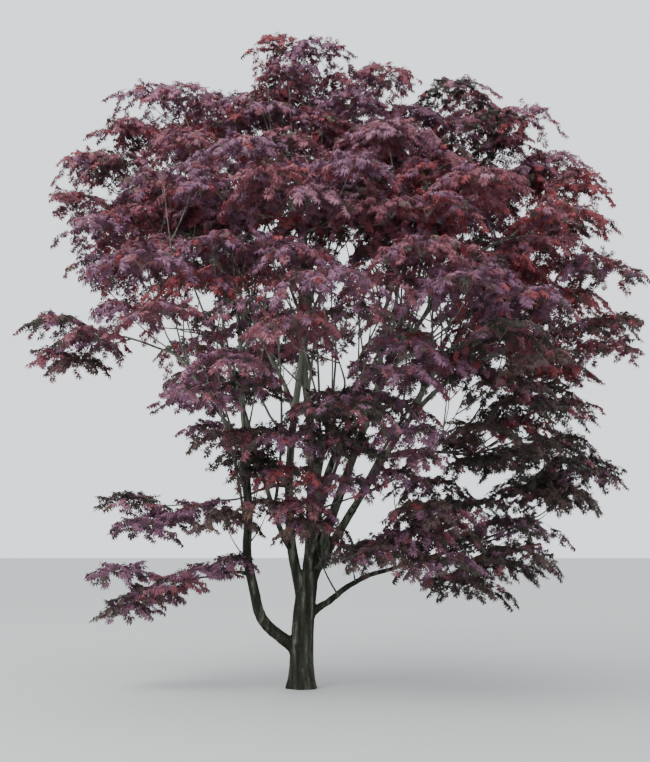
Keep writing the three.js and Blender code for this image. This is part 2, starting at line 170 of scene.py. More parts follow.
# name, parent, share; bearing, reach, height; slopes; radii; and turn, lift, way, radius of each mass
BOUGHS = [
    ("low_left", "trunk", 0.30, (201, 0.69, 2.91), (22, 86), (0.074, 0.040), []),
    ("left", "trunk", 0.68, (199, 0.87, 6.05), (68, 8), (0.066, 0.018),
     [(-45, 40, 1.20, 0.92), (45, -30, 0.85, 0.92)]),
    ("top", "trunk", 0.90, (351, 0.18, 6.47), (88, 79), (0.074, 0.020),
     [(-165, 75, 0.95, 0.76), (-10, 20, 0.70, 0.90)]),
    ("right_high", "trunk", 0.94, (16, 1.85, 6.02), (62, 62), (0.068, 0.018),
     [(-100, 50, 0.80, 0.96), (50, 15, 1.15, 0.99)]),
    ("right_far", "trunk", 0.88, (6, 2.75, 3.97), (55, 10), (0.060, 0.016),
     [(-50, 30, 0.85, 0.85), (40, 5, 1.00, 0.92)]),
    ("back_right", "trunk", 0.92, (50, 2.61, 4.34), (75, 18), (0.062, 0.018),
     [(55, -10, 0.65, 1.06), (-40, 35, 1.20, 1.03)]),
    ("front_right", "trunk", 0.88, (284, 1.81, 3.10), (72, 15), (0.050, 0.016),
     [(-20, 30, 1.00, 0.87), (40, -30, 0.45, 0.85)]),
    ("low_right", "trunk", 0.55, (350, 1.21, 1.38), (40, 14), (0.046, 0.020),
     [(-70, 25, 0.55, 0.88), (35, 2, 1.15, 1.04)]),
    ("left_high", "low_left", 0.97, (191, 1.57, 5.26), (80, 5), (0.036, 0.018),
     [(-35, 35, 1.15, 0.90), (45, -35, 0.85, 0.81)]),
    ("left_far", "low_left", 0.93, (197, 2.05, 3.89), (45, 4), (0.024, 0.013),
     [(-15, -5, 0.60, 0.69)]),
    ("left_front", "low_left", 0.60, (239, 1.42, 3.52), (70, 21), (0.026, 0.014),
     [(-40, 30, 1.00, 0.90), (10, -35, 0.80, 0.74)]),
    ("left_skirt", "low_left", 0.42, (200, 1.19, 1.23), (40, 0), (0.020, 0.011),
     [(-10, 0, 0.55, 0.69)]),
    ("left_back", "left", 0.35, (125, 2.12, 4.98), (60, 30), (0.032, 0.016),
     [(60, 35, 1.10, 1.01), (-45, 40, 1.15, 0.99)]),
    ("left_shelf", "left", 0.22, (192, 0.93, 2.09), (22, 6), (0.022, 0.012),
     [(0, -10, 0.60, 0.83)]),
    ("top_back", "top", 0.55, (93, 1.31, 6.33), (70, 40), (0.034, 0.018),
     [(85, 40, 1.10, 1.01), (-55, 35, 1.10, 1.01)]),
    ("top_front", "top", 0.50, (272, 1.30, 4.82), (70, 40), (0.032, 0.018),
     [(-35, 20, 0.80, 0.94), (25, 5, 0.80, 0.94)]),
    ("right_top", "right_high", 0.48, (322, 1.44, 5.05), (80, 57), (0.034, 0.018),
     [(-25, 70, 0.65, 0.92), (25, -5, 0.90, 0.90)]),
    ("right_shoulder", "right_high", 0.45, (356, 2.37, 5.16), (46, 15), (0.036, 0.018),
     [(45, 40, 1.05, 0.90), (-45, -20, 0.90, 0.85)]),
    ("right_front", "right_far", 0.55, (316, 2.16, 3.57), (50, 22), (0.028, 0.015),
     [(-30, 30, 0.85, 0.94), (50, 10, 0.60, 0.87)]),
    ("right_under", "right_far", 0.40, (2, 2.05, 2.65), (30, 10), (0.028, 0.014),
     [(-65, 10, 0.60, 0.94), (40, -8, 1.25, 1.03)]),
    ("back_left", "back_right", 0.35, (106, 2.09, 3.68), (45, 19), (0.034, 0.016),
     [(-55, 45, 1.25, 1.06), (65, 15, 0.75, 0.95)]),
]
print(len(BOUGHS), "boughs and", sum(len(line[-1]) for line in BOUGHS), "masses")

# %% Helpers for directions and lines of points
def pointing(bearing, slope):
    """A unit vector from a compass bearing and a slope above level, in degrees."""
    b, s = math.radians(bearing), math.radians(slope)
    return np.array([math.cos(b) * math.cos(s), math.sin(b) * math.cos(s), math.sin(s)])


def bearing_of(way):
    return math.degrees(math.atan2(way[1], way[0]))


def unit(way):
    return way / np.linalg.norm(way)


def along(points, share):
    """The point a share of the way along a line of points."""
    at = min(max(share, 0), 1) * (len(points) - 1)
    i = min(int(at), len(points) - 2)
    return points[i] + (points[i + 1] - points[i]) * (at - i)


def length_of(line):
    return float(np.linalg.norm(np.diff(line, axis=0), axis=1).sum())


def bezier(foot, a, b, tip, steps):
    t = np.linspace(0, 1, steps + 1)[:, None]
    return (1 - t) ** 3 * foot + 3 * t * (1 - t) ** 2 * a + 3 * t * t * (1 - t) * b + t**3 * tip


def limb_line(foot, tip, rise, arch, steps):
    way = tip - foot
    handle = np.linalg.norm(way) * HANDLE
    bearing = bearing_of(way)
    a = foot + pointing(bearing, rise) * handle
    b = tip - pointing(bearing, arch) * handle
    return bezier(foot, a, b, tip, steps)


def girth_at(z):
    return float(np.interp(z, [g[0] for g in GIRTH], [g[1] for g in GIRTH]))


def trunk_axis(z):
    return np.array([TRUNK_LEAN * (z / TRUNK_TOP) ** 3, 0, z])


# %% Where every limb and every mass is
limbs = {
    "trunk": {"coarse": [trunk_axis(TRUNK_TOP * k / TRUNK_STEPS) for k in range(TRUNK_STEPS + 1)]}
}
masses = []
for name, parent, share, (bearing, reach, height), slopes, radii, sprays in BOUGHS:
    foot = along(limbs[parent]["coarse"], share)
    tip = pointing(bearing, 0) * reach + np.array([0, 0, height])
    coarse = limb_line(foot, tip, *slopes, LIMB_RINGS)
    limbs[name] = {"parent": parent, "coarse": list(coarse), "foot": foot, "tip": tip,
                   "slopes": slopes, "radii": radii, "length": length_of(coarse)}
    heading = bearing_of(tip - foot)
    end = unit(coarse[-1] - coarse[-2])
    endings = ("_a", "_b") if len(sprays) > 1 else ("",)
    for ending, (turn, lift, out, radius) in zip(endings, sprays):
        middle = tip + pointing(heading + turn, lift) * out
        masses.append({"bough": name, "node": "foliage_" + name + ending, "middle": middle,
                       "radius": radius, "tip": tip, "tip_radius": radii[1], "end": end})
bough_limbs = {name: limb for name, limb in limbs.items() if name != "trunk"}
assert all(mass["node"] in frame["nodes"] for mass in masses)
print("boughs", round(sum(limb["length"] for limb in bough_limbs.values()), 1), "m in all")

# %% [markdown]
# ## Bark
#
# The bark of this maple is thin and smooth. It is grey with a green cast where it is damp,
# paler in long streaks that follow the limb, and dark in the folds between the ridges.
# Noise that is stretched upwards gives the streaks, a finer one the grain, and both feed a bump.
# The bole at the bottom is the darkest. Higher up the bark is paler, a painted highlight: the sky's
# reflection on the upper limbs.

# %% Bark material
BARK_DARK = (0.012, 0.012, 0.008, 1)
BARK_MIDDLE = (0.034, 0.036, 0.025, 1)
BARK_PALE = (0.180, 0.188, 0.155, 1)
YOUNG_BARK = (0.05, 0.03, 0.028, 1), (0.10, 0.07, 0.06, 1), (0.19, 0.16, 0.13, 1)
BARK_STOPS = (0.50, 0.68, 0.90)  # where the noise is dark, middling and pale
GRAIN_SHARE = 0.35
BUMP, BUMP_DEPTH = 0.5, 0.006
BARK_LOOKS = {"Roughness": 0.82, "Specular IOR Level": 0.2}
STREAK = (16, 16, 1.6)  # streaks to a metre, across and up
GRAIN = (130, 130, 22)
# The bark is darker at the bottom and paler higher up; the pale upper bark is a painted highlight of the
# sky.
DARKEST_BELOW, HIGHLIGHT_FROM = 1.0, 3.2  # metres above the ground
LOW_DARKER, HIGHLIGHT_PALER = 0.07, 0.20  # how far down and up the ramp the bark moves


def bark_material(name, dark, middle, pale):
    material = plain_material(name, BARK_LOOKS)
    nodes, link = material.node_tree.nodes, material.node_tree.links.new
    shader = nodes["Principled BSDF"]

    def add(kind, values):
        node = nodes.new("ShaderNode" + kind)
        fill(node, values)
        return node

    place = add("TexCoord", {})

    def noise(scale, detail):
        mapping = add("Mapping", {"Scale": scale})
        texture = add("TexNoise", {"Scale": 1.0, "Detail": detail})
        link(place.outputs["Object"], mapping.inputs["Vector"])
        link(mapping.outputs["Vector"], texture.inputs["Vector"])
        return texture.outputs["Fac"]

    both = add("Math", {1: GRAIN_SHARE})
    both.operation = "MULTIPLY_ADD"
    link(noise(GRAIN, 3.0), both.inputs[0])
    link(noise(STREAK, 4.0), both.inputs[2])
    split = add("SeparateXYZ", {})
    link(place.outputs["Object"], split.inputs["Vector"])
    # Darker at the bottom and paler upwards: the pale upper bark is a painted highlight of the sky.
    height = add("MapRange", {"From Min": DARKEST_BELOW, "From Max": HIGHLIGHT_FROM})
    fill(height, {"To Min": -LOW_DARKER, "To Max": HIGHLIGHT_PALER})
    link(split.outputs["Z"], height.inputs["Value"])
    with_height_highlight = add("Math", {})
    link(both.outputs[0], with_height_highlight.inputs[0])
    link(height.outputs["Result"], with_height_highlight.inputs[1])
    shades = add("ValToRGB", {})
    stops = shades.color_ramp.elements
    stops[0].position, stops[1].position = BARK_STOPS[0], BARK_STOPS[2]
    stops[0].color, stops[1].color = dark, pale
    stops.new(BARK_STOPS[1]).color = middle
    link(with_height_highlight.outputs[0], shades.inputs["Fac"])
    link(shades.outputs["Color"], shader.inputs["Base Color"])
    bump = add("Bump", {"Strength": BUMP, "Distance": BUMP_DEPTH})
    link(both.outputs[0], bump.inputs["Height"])
    link(bump.outputs["Normal"], shader.inputs["Normal"])
    return material


bark = bark_material("bark", BARK_DARK, BARK_MIDDLE, BARK_PALE)
young_bark = bark_material("young bark", *YOUNG_BARK)
print("bark streaks", STREAK, "to the metre")

# %% [markdown]
# ## Trunk
#
# The trunk is a circle that is extruded upwards ring by ring. Each new ring is scaled to the
# girth at its height and moved along with the lean. The rings are then fluted: this tree shows
# its boughs as ridges that run down the bole to the roots.

# %% Trunk rings
TRUNK_SIDES = 48
RING_STEP = 0.05
FLUTES = [  # bearing, depth and width
    (190, 0.16, 30), (262, 0.10, 22), (318, 0.14, 26), (20, 0.10, 24), (95, 0.12, 34)
]
FLUTE_TWIST, FLUTE_MEAN = 14, 0.07  # degrees to a metre, and the mean depth
ROOT_FLARE, FLARE_HEIGHT = 0.70, 0.11
TOP_INSET = 0.04

bpy.ops.mesh.primitive_circle_add(vertices=TRUNK_SIDES, radius=girth_at(0), fill_type="NGON")
trunk = bpy.context.object
trunk.name = "trunk_bark"
bpy.ops.object.mode_set(mode="EDIT")
bpy.ops.mesh.select_mode(type="FACE")
bpy.ops.mesh.select_all(action="SELECT")
heights = np.arange(0, TRUNK_TOP - RING_STEP, RING_STEP)
for below, above in zip(heights[:-1], heights[1:]):
    step = trunk_axis(above) - trunk_axis(below)
    bpy.ops.mesh.extrude_region_move(TRANSFORM_OT_translate={"value": tuple(step)})
    grow = girth_at(above) / girth_at(below)
    bpy.ops.transform.resize(value=(grow, grow, 1), center_override=tuple(trunk_axis(above)))
bpy.ops.mesh.inset(thickness=TOP_INSET)
bpy.ops.mesh.normals_make_consistent(inside=False)
bpy.ops.object.mode_set(mode="OBJECT")

for vertex in trunk.data.vertices:
    x, y, z = vertex.co
    middle = trunk_axis(z)
    angle = math.degrees(math.atan2(y - middle[1], x - middle[0]))
    ridge = 0
    for bearing, depth, width in FLUTES:
        off = (angle - bearing - FLUTE_TWIST * z + 180) % 360 - 180
        ridge += depth * math.exp(-((off / width) ** 2))
    ridge = (ridge - FLUTE_MEAN) * (1 + ROOT_FLARE * math.exp(-z / FLARE_HEIGHT))
    vertex.co.x = middle[0] + (x - middle[0]) * (1 + ridge)
    vertex.co.y = middle[1] + (y - middle[1]) * (1 + ridge)
print("trunk rings", len(heights), "vertices", len(trunk.data.vertices))

# %% [markdown]
# ## Boughs
#
# Each bough is a path with a radius at every point, given a round section and turned into a mesh.
# A path keeps the section square to the limb round every bend, which rings placed by hand would
# not. The line wanders a little to either side, because no bough grows dead straight, and it
# swells into a collar at its foot.

# %% Limb lines with a wander and a collar
COLLAR, COLLAR_LENGTH = 0.42, 0.16
COLLAR_MOST = 1.15  # on a bough that leaves another bough
WANDER, WANDER_WAVES, WANDER_GAIN = 0.018, (2, 3, 5, 7), 1.6
RING_SPACING = 0.11


def smooth_wander(count, seed, size):
    """A slow, seeded drift sideways that is nothing at both ends."""
    dice = np.random.default_rng(seed)
    t = np.linspace(0, 1, count)
    drift = np.zeros((count, 3))
    for waves in WANDER_WAVES:
        phase = math.pi * waves * t[:, None] + dice.uniform(0, 6.28, 3)
        drift += np.sin(phase) * dice.normal(0, 1, 3) / waves
    return drift * size * np.sin(math.pi * t)[:, None] * WANDER_GAIN


def finish_line(name, limb):
    steps = max(8, round(limb["length"] / RING_SPACING))
    line = limb_line(limb["foot"], limb["tip"], *limb["slopes"], steps)
    line = line + smooth_wander(steps + 1, len(name) * 7 + steps, WANDER * min(limb["length"], 3))
    t = np.linspace(0, 1, steps + 1)
    foot, tip = limb["radii"]
    radius = foot + (tip - foot) * t**TAPER
    away = t * limb["length"]
    radius = radius * (1 + COLLAR * np.exp(-((away / COLLAR_LENGTH) ** 2)))
    if limb["parent"] == "trunk":
        most = girth_at(limb["foot"][2]) * FOOT_MOST
    else:
        most = foot * COLLAR_MOST
    radius = np.minimum(radius, np.maximum(most, foot))
    limb["line"], limb["radius"] = line, radius


for name, limb in bough_limbs.items():
    finish_line(name, limb)
print("longest bough", round(max(limb["length"] for limb in bough_limbs.values()), 1), "m")

# %% A round limb from a line of points
def round_limb(name, line, radius, sides):
    bpy.ops.curve.primitive_bezier_curve_add()
    path = bpy.context.object
    path.name = name
    shape = path.data
    shape.splines.clear()
    spline = shape.splines.new("POLY")
    spline.points.add(len(line) - 1)
    spline.points.foreach_set("co", np.column_stack([line, np.ones(len(line))]).ravel())
    spline.points.foreach_set("radius", np.asarray(radius, float))
    shape.dimensions = "3D"
    shape.bevel_depth = 1.0
    shape.bevel_resolution = (sides - 4) // 2
    shape.use_fill_caps = True
    shape.twist_mode = "MINIMUM"
    bpy.ops.object.convert(target="MESH")
    limb = bpy.context.object
    bpy.ops.object.mode_set(mode="EDIT")
    bpy.ops.mesh.select_all(action="SELECT")
    bpy.ops.mesh.remove_doubles(threshold=0.0002)
    bpy.ops.mesh.normals_make_consistent(inside=False)
    bpy.ops.object.mode_set(mode="OBJECT")
    return limb


def choose(objects):
    """Select these alone, the first one active."""
    bpy.ops.object.select_all(action="DESELECT")
    for obj in objects:
        obj.select_set(True)
    bpy.context.view_layer.objects.active = objects[0]


def join(objects, name):
    choose(objects)
    bpy.ops.object.join()
    whole = bpy.context.object
    whole.name = name
    whole.data.name = name
    return whole


def apply_modifiers(obj):
    choose([obj])
    for modifier in list(obj.modifiers):
        bpy.ops.object.modifier_apply(modifier=modifier.name)


# %% [markdown]
# ## The fork
#
# Where the boughs leave the trunk, the wood flows from one into the other. The first stretch of
# each of those boughs is joined to the trunk, and a voxel remesh makes one skin of them all.
# Smoothing rounds the crotches, and two displacements give the bark its relief: long shallow
# ridges that run upwards, and small lumps.

# %% Fork
FORK_REACH = 0.95
STRETCH_SIDES = 16
MUSCLE_DROP, MUSCLE_MOST = 0.42, 0.7  # metres a bough's ridge starts below its foot, and share of the height
MUSCLE_BEND = 0.4
MUSCLE_OUT = (0.52, 0.40)  # of the girth, at the ridge's first two points
MUSCLE_THICK = (0.75, 1.05)
VOXEL = 0.0085
SMOOTHING, SMOOTHINGS = 0.6, 7

first_stretches = [trunk]
for name, limb in bough_limbs.items():
    if limb["parent"] != "trunk":
        continue
    spacing = limb["length"] / (len(limb["line"]) - 1)
    count = max(3, round(FORK_REACH / spacing))
    limb["joins"] = count
    line, radius = limb["line"][:count + 1], limb["radius"][:count + 1]
    side = pointing(bearing_of(limb["tip"] - limb["foot"]), 0)
    height = limb["foot"][2]
    drop = min(MUSCLE_DROP, height * MUSCLE_MOST)
    low = trunk_axis(height - drop) + side * girth_at(height - drop) * MUSCLE_OUT[0]
    middle = trunk_axis(height - drop * MUSCLE_BEND) + side * girth_at(height) * MUSCLE_OUT[1]
    line = np.vstack([low, middle, line[1:]])
    radius = np.concatenate([[radius[-1] * thick for thick in MUSCLE_THICK], radius[1:]])
    first_stretches.append(round_limb("stretch_" + name, line, radius, STRETCH_SIDES))
fork = join(first_stretches, "trunk_and_fork")

remesh = fork.modifiers.new("one skin", "REMESH")
remesh.mode = "VOXEL"
remesh.voxel_size = VOXEL
smooth = fork.modifiers.new("rounded crotches", "SMOOTH")
smooth.factor = SMOOTHING
smooth.iterations = SMOOTHINGS
apply_modifiers(fork)
print("fork", len(fork.data.polygons), "faces")

# %% [markdown]
# Below the fork the remeshed skin has one flat foot. The smoothing lifts its rim a little, so the
# lowest vertices are set back onto the ground.

# %% Relief in the bark
RIDGE_DEPTH, RIDGE_SIZE, RIDGE_STRETCH = 0.010, 0.055, 7.0
LUMP_DEPTH, LUMP_SIZE = 0.004, 0.03
FOOT_BAND = 0.012  # metres

bpy.ops.object.empty_add(location=(0, 0, 0))
stretcher = bpy.context.object
stretcher.scale = (1, 1, RIDGE_STRETCH)


def add_relief(obj, depth, size, stretched):
    pattern = bpy.data.textures.new("relief", "CLOUDS")
    pattern.noise_scale = size
    pattern.noise_depth = 2
    push = obj.modifiers.new("relief", "DISPLACE")
    push.texture = pattern
    push.strength = depth
    push.mid_level = 0.5
    push.texture_coords = "OBJECT" if stretched else "LOCAL"
    if stretched:
        push.texture_coords_object = stretcher


def finish_bark(obj):
    apply_modifiers(obj)
    bpy.ops.object.shade_smooth()
    obj.data.materials.clear()
    obj.data.materials.append(bark)


add_relief(fork, RIDGE_DEPTH, RIDGE_SIZE, True)
add_relief(fork, LUMP_DEPTH, LUMP_SIZE, False)
finish_bark(fork)
for vertex in fork.data.vertices:
    if vertex.co.z < FOOT_BAND:
        vertex.co.z = 0.0
print("fork stands from", round(min(v.co.z for v in fork.data.vertices), 4), "m")

# %% The rest of the boughs
OVERLAP_RINGS = 1
THICK, THICK_SIDES, THIN_SIDES = 0.03, 12, 8
BOUGH_RIDGE_DEPTH, BOUGH_RIDGE_SIZE = 0.005, 0.045
BOUGH_LUMP_DEPTH = 0.003

stretches = []
for name, limb in bough_limbs.items():
    start = max(0, limb.get("joins", 0) - OVERLAP_RINGS)
    sides = THICK_SIDES if limb["radii"][0] > THICK else THIN_SIDES
    line, radius = limb["line"][start:], limb["radius"][start:]
    stretches.append(round_limb("bough_" + name + "_bark", line, radius, sides))
boughs = join(stretches, "boughs")
rounder = boughs.modifiers.new("rounder", "SUBSURF")
rounder.levels = rounder.render_levels = 1
add_relief(boughs, BOUGH_RIDGE_DEPTH, BOUGH_RIDGE_SIZE, True)
add_relief(boughs, BOUGH_LUMP_DEPTH, LUMP_SIZE, False)
finish_bark(boughs)
bpy.data.objects.remove(stretcher)
print("boughs", len(boughs.data.polygons), "faces")

# %% [markdown]
# ## The space of each mass
#
# A mass keeps to a flattened ball, parted from its neighbours by flat walls that stand where the
# two balls are equally near. The finer growth is held to the same space, so the crown has the
# outline and the gaps of the solids.

# %% Space
FLATNESS = 1.62
ROUNDED = np.array([1, 1, FLATNESS])  # turns a mass's flattened ball into a round one

for mass in masses:
    mass["walls"] = []
    for other in masses:
        way = (other["middle"] - mass["middle"]) * ROUNDED
        gap = np.linalg.norm(way)
        if other is mass or gap > mass["radius"] + other["radius"]:
            continue
        at = (gap**2 + mass["radius"] ** 2 - other["radius"] ** 2) / (2 * gap)
        mass["walls"].append((way / gap, at))


def room(mass, point):
    """How far inside its space a point is; below nothing it is outside."""
    q = (point - mass["middle"]) * ROUNDED
    left = mass["radius"] - np.linalg.norm(q)
    for way, at in mass["walls"]:
        left = min(left, at - q.dot(way))
    return left


print("walls to a mass", round(np.mean([len(m["walls"]) for m in masses]), 1))

# %% [markdown]
# ## Growing the twigs
#
# From each bough's tip a stem goes on into the mass. Branches leave it by the golden angle, in
# tiers. Each ends under a pad of foliage, and there it opens into ribs that rise, arch over and
# droop, like those of an umbrella. The ribs bear twigs left and right, the twigs bear short
# shoots, and on the shoots the leaves sit in pairs. These shallow domes, one above another, are
# what this tree is known by. Only at the low left are the pads flat plates, that reach out over
# the lawn. Whatever would leave the mass's space is drawn in or skipped.
#
# A twig is far too small to model by hand, and there are thousands. They are three-sided spines
# whose points are worked out in rows, and joined as one mesh.

# %% Piles of faces
class Pile:
    """Vertices and triangles gathered for one joined mesh."""

    def __init__(self):
        self.places, self.faces, self.count = [], [], 0

    def add(self, places, faces):
        self.places.append(places)
        self.faces.append(faces + self.count)
        self.count += len(places)

    def mesh(self, name, material):
        places, faces = np.concatenate(self.places), np.concatenate(self.faces)
        mesh = bpy.data.meshes.new(name)
        mesh.vertices.add(len(places))
        mesh.vertices.foreach_set("co", places.astype(np.float32).ravel())
        mesh.loops.add(faces.size)
        mesh.loops.foreach_set("vertex_index", faces.astype(np.int32).ravel())
        mesh.polygons.add(len(faces))
        mesh.polygons.foreach_set("loop_start", np.arange(0, faces.size, 3, dtype=np.int32))
        mesh.update(calc_edges=True)
        mesh.validate()
        mesh.materials.append(material)
        obj = bpy.data.objects.new(name, mesh)
        bpy.context.scene.collection.objects.link(obj)
        return obj


def spine(pile, points, radii, sides):
    """A tapering twig round a line of points: rings, and a point at the tip."""
    points = np.asarray(points)
    ways = np.gradient(points, axis=0)
    ways /= np.linalg.norm(ways, axis=1)[:, None]
    helper = np.array([0, 0, 1.0]) if abs(ways[0][2]) < 0.9 else np.array([1.0, 0, 0])
    across = np.cross(ways, helper)
    across /= np.linalg.norm(across, axis=1)[:, None]
    up = np.cross(across, ways)
    turn = np.arange(sides) * 2 * math.pi / sides
    rings = (
        points[:-1, None]
        + (across[:-1, None] * np.cos(turn)[:, None] + up[:-1, None] * np.sin(turn)[:, None])
        * np.asarray(radii)[:-1, None, None]
    )
    places = np.concatenate([rings.reshape(-1, 3), points[-1:]])
    faces = []
    count = len(points) - 1
    for k in range(count - 1):
        for i in range(sides):
            a, b = k * sides + i, k * sides + (i + 1) % sides
            faces += [(a, a + sides, b), (b, a + sides, b + sides)]
    last, apex = (count - 1) * sides, count * sides
    faces += [(last + i, apex, last + (i + 1) % sides) for i in range(sides)]
    pile.add(places, np.array(faces))


# %% Rules of growth
GOLDEN_ANGLE = 137.5
SCATTER = 14  # degrees to either side of it
UP = np.array([0, 0, 1.0])

branch_pile, twig_pile, shoot_pile = Pile(), Pile(), Pile()
shoots = []  # root, way, up, pad and a seed
pads = []  # middle, radius, number of its mass


def way_at(line, share):
    return unit(along(line, share + 0.05) - along(line, share - 0.1))


def arched(start, way, length, droop, steps):
    """A line that sets out one way and bends down under its own weight."""
    t = np.linspace(0, 1, steps + 1)[:, None]
    return start + way * length * t - UP * droop * length * t**2


def side_of(k, count):
    """Left and right in turn, and straight on at the end."""
    return 0 if k == count else (1 if k % 2 else -1)


def tell_growth():
    for name, pile in (("branch", branch_pile), ("twig", twig_pile)):
        print(name, "faces", sum(len(faces) for faces in pile.faces))
    print("pads", len(pads), "shoots", len(shoots))


# %% Shoots and twigs
SHOOTS_FROM = 0.25  # share of a twig at its first shoot
SHOOT_STEP, SHOOT_LENGTH = 0.080, 0.075
SHOOT_SIDE, SHOOT_LIFT = (0.6, 1.3), (-0.12, 0.2)  # a range, and a mean and its spread
FACING, UNEVEN = 0.6, 0.2  # how far a spray faces out of its dome, and how unevenly
TWIG_FROM = 0.18  # share of a rib at its first twig
TWIG_STEP = 0.118  # metres between a rib's twigs
TWIG_TURN, TWIG_LIFT = (38, 72), (-6, 14)  # degrees from the rib's way
TWIG_SIZES, TWIG_FADE = (0.7, 1.15), (1.2, 0.5)  # by the dice, and shorter along the rib
TWIG_PULLS = (1.0, 0.75, 0.5)  # a twig that would leave the space is shortened
TWIG_RADII = (0.0020, 0.0015, 0.0010)


def grow_shoots(space, line, dice):
    middle, radius, _ = pads[-1]
    count = max(1, round(length_of(line) / SHOOT_STEP))
    for k in range(count + 1):
        share = SHOOTS_FROM + (1 - SHOOTS_FROM) * k / count
        root, way = along(line, share), way_at(line, share)
        side = unit(np.array([-way[1], way[0], 0.0])) * side_of(k, count)
        out = unit(way + side * dice.uniform(*SHOOT_SIDE) + UP * dice.normal(*SHOOT_LIFT))
        up = unit(UP + FACING * (root - middle) / radius + dice.normal(0, UNEVEN, 3))
        if space(root + out * SHOOT_LENGTH) > 0:
            shoots.append((root, out, up, len(pads) - 1, int(dice.integers(1 << 30))))


def grow_twigs(space, rib, dice, longest, droop):
    count = max(2, round(length_of(rib) * (1 - TWIG_FROM) / TWIG_STEP))
    for k in range(count + 1):
        share = TWIG_FROM + (1 - TWIG_FROM) * k / count
        root, way = along(rib, share), way_at(rib, share)
        bearing = bearing_of(way) + side_of(k, count) * dice.uniform(*TWIG_TURN)
        slope = math.degrees(math.asin(way[2])) + dice.uniform(*TWIG_LIFT)
        reach = longest * dice.uniform(*TWIG_SIZES) * (TWIG_FADE[0] - TWIG_FADE[1] * share)
        for pull in TWIG_PULLS:
            twig = arched(root, pointing(bearing, slope), reach * pull, droop, 2)
            if space(twig[-1]) > 0:
                break
        else:
            continue
        spine(twig_pile, twig, TWIG_RADII, 3)
        grow_shoots(space, twig, dice)


# %% Pads
RIBS, RIB_STEPS, RIB_RADII = 8, 4, (0.0042, 0.0016)
RIB_REACH, RIB_FALL = (0.78, 1.12), (0.10, 0.34)  # against the pad's radius
RIB_RISE, RIB_OVER = (0.22, 1.3), (0.34, 0.75)  # the handles, by the reach and by the dome
RIB_PULLS = (1.0, 0.85, 0.7, 0.55)
DOME, DROOP = 0.34, 0.42  # height of the dome by its radius, and sag of a twig by its length
TWIG_LENGTH = 0.46  # against the pad's radius
MARGIN = 0.03  # metres inside the space
WISP_SIDE, WISP_TOP = -1.0, 3.4  # left of and below these the pads are flat plates
WISP_DOME, WISP_DROOP = 0.16, 0.22


def in_wisps(point):
    return point[0] < WISP_SIDE and point[2] < WISP_TOP


def grow_pad(space, number, middle, radius, dice, ribs=RIBS):
    """Ribs that open out from under the pad's middle, arch over and droop."""
    pads.append((middle, radius, number))
    dome, droop = (WISP_DOME, WISP_DROOP) if in_wisps(middle) else (DOME, DROOP)
    hub = middle - UP * radius * dome
    first = dice.uniform(0, 360)
    for k in range(ribs):
        out = pointing(first + GOLDEN_ANGLE * k + dice.uniform(-SCATTER, SCATTER), 0)
        reach = radius * dice.uniform(*RIB_REACH)
        fall = radius * dice.uniform(*RIB_FALL)
        for pull in RIB_PULLS:
            end = middle + out * reach * pull - UP * fall
            if space(end) > MARGIN:
                break
        else:
            continue
        rise = hub + out * reach * RIB_RISE[0] + UP * radius * dome * RIB_RISE[1]
        over = end - out * reach * RIB_OVER[0] + UP * radius * dome * RIB_OVER[1]
        rib = bezier(hub, rise, over, end, RIB_STEPS)
        spine(twig_pile, rib, np.linspace(*RIB_RADII, RIB_STEPS + 1), 3)
        grow_twigs(space, rib, dice, TWIG_LENGTH * radius, droop)
    return hub


# %% Branches
BRANCH_OUT, BRANCH_UP = (0.2, 0.6), 0.5
BRANCH_GIRTH, BRANCH_END = (0.005, 0.0065), 0.0034  # radius at the root, for each metre, at the end


def grow_branch(root, hub, dice):
    """The branch that carries a pad, bent upwards on its way."""
    span = np.linalg.norm(hub - root)
    straight = unit(hub - root)
    level = unit(np.array([straight[0], straight[1], 0.0]) + 1e-6)
    first = unit(straight + level * dice.uniform(*BRANCH_OUT))
    last = unit(straight + UP * BRANCH_UP)
    branch = bezier(root, root + first * span * 0.4, hub - last * span * 0.3, hub, 6)
    girth = BRANCH_GIRTH[0] + BRANCH_GIRTH[1] * span
    spine(branch_pile, branch, np.linspace(girth, BRANCH_END, 7), 5)


# %% Masses
HEART = (0.35, -0.1)  # the crown's axis
FORK_SHORT = 0.34  # share of a mass's radius that its stem ends before the middle
STEM_STEPS, STEM_LEAD = 5, 0.12
STEM_SUNK = 0.02  # metres a stem starts inside its bough
STEM_SHARED, STEM_ALONE = 0.80, 0.98  # its radius against the tip of the bough
STEM_BEARS = (0.99, 0.42)  # share of the stem at its first branch, and how far back the others go
PAD_SPAN = 0.208  # metres of a mass's radius to each pad
PAD_RADIUS, PAD_SIZES = 0.50, (0.85, 1.12)  # against the mass's radius, and by the dice
PAD_REACH = (0.40, 0.60)  # of a pad's middle from the mass's, against its radius
PAD_PULLS = (0, 0.15, 0.3, 0.45)  # a pad outside its space is drawn in by one of these shares
TOP_TIER, WISP_TIER = 0.74, 0.30  # height of the highest pad, against the mass's half height
LOW_TIER, FRONT_LOW_TIER = -0.30, 0.10  # the lowest; before the heart the stems show below it
FRONT_Y, FRONT_HALF, FRONT_BOTTOM, FRONT_TOP = -0.9, 1.7, 3.0, 5.4


